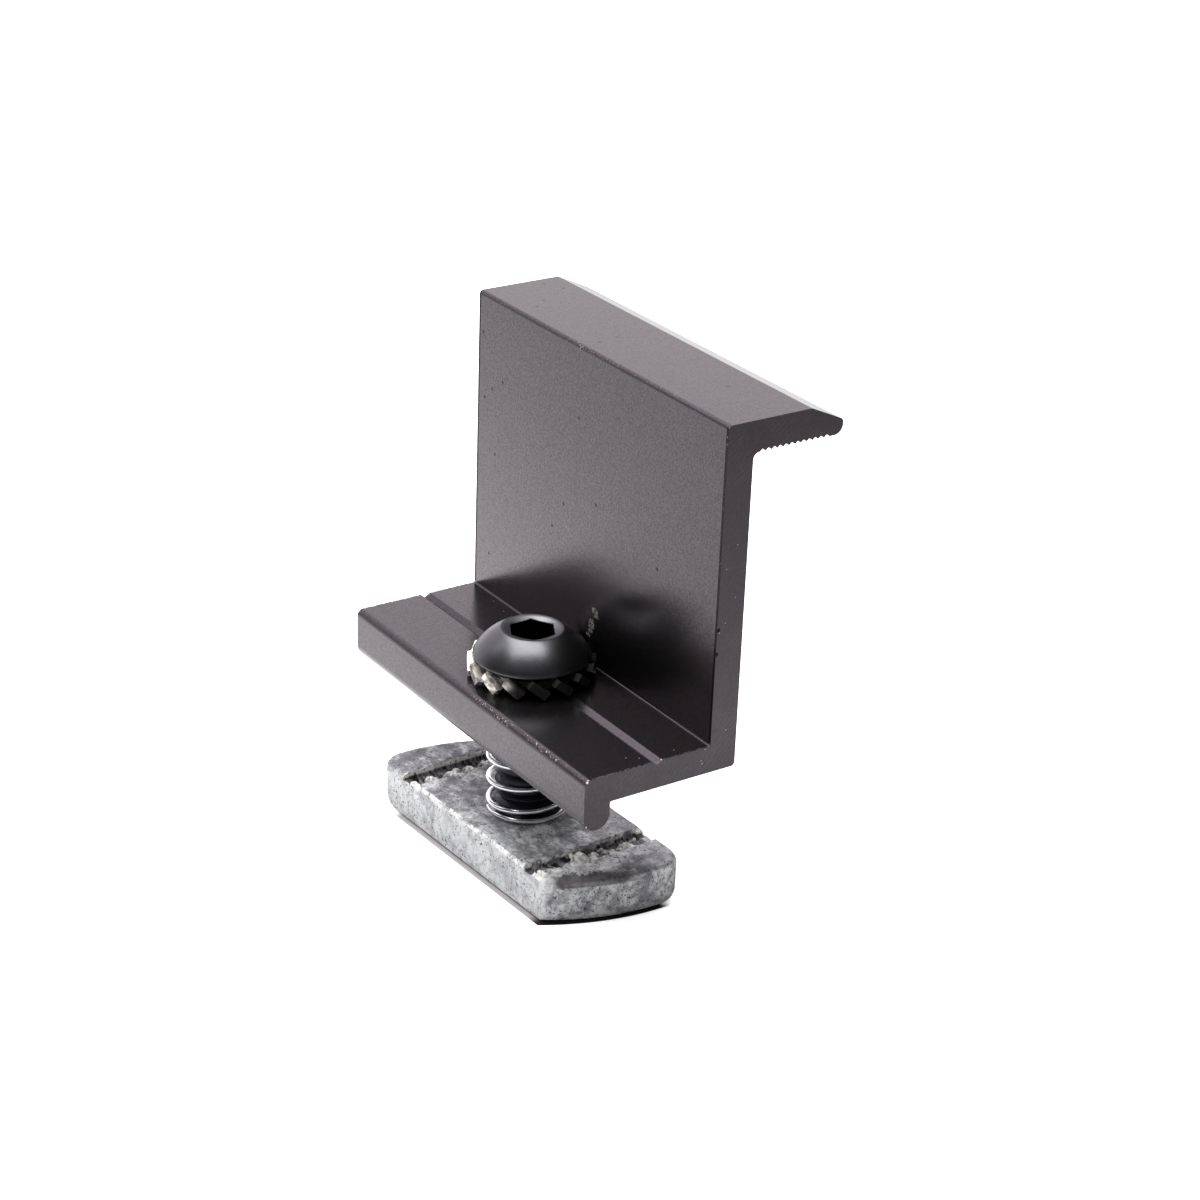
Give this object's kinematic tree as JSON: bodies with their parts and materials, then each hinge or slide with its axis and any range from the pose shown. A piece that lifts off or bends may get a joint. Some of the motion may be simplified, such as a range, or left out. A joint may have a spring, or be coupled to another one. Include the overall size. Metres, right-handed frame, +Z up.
{
  "type": "solar panel end clamp",
  "caption": "Z-shaped end clamp with a button head screw, toothed lock washer, coil spring and toothed channel nut.",
  "frame": {"origin": "on the screw's axis, at the channel nut's bottom face", "axes": "+Z up along the screw, +X from the screw towards the panel that the lip grips, Y along the extrusion"},
  "size_m": [0.032, 0.05, 0.0611],
  "materials": {
    "anodised_aluminium": "black anodised, satin, sawn ends",
    "black_steel": "black, satin",
    "washer_steel": "bright stamped steel",
    "spring_wire": "bright drawn wire",
    "zinc_coated_steel": "dull zinc coat, mottled"
  },
  "bodies": {
    "nut": {"channel_nut": "zinc_coated_steel", "spring": "spring_wire"},
    "washer": {"lock_washer": "washer_steel"},
    "screw": {"socket_screw": "black_steel"},
    "clamp": {"clamp_body": "anodised_aluminium"}
  },
  "joints": [
    {"name": "tighten", "type": "slide", "parent": "nut", "child": "washer", "axis": [0, 0, -1], "range_m": [0, 0.009], "deforming": ["spring"]},
    {"name": "screw_turn", "type": "hinge", "parent": "washer", "child": "screw", "pos_m": [0, 0, 0.026], "axis": [0, 0, -1], "range_deg": [0, 2700]},
    {"name": "clamp_swivel", "type": "hinge", "parent": "washer", "child": "clamp", "pos_m": [0, 0, 0.0217], "axis": [0, 0, 1], "continuous": true}
  ],
  "couplings": [
    {"joint": "screw_turn", "follows": "tighten", "rad_per_m": 5026.5}
  ]
}
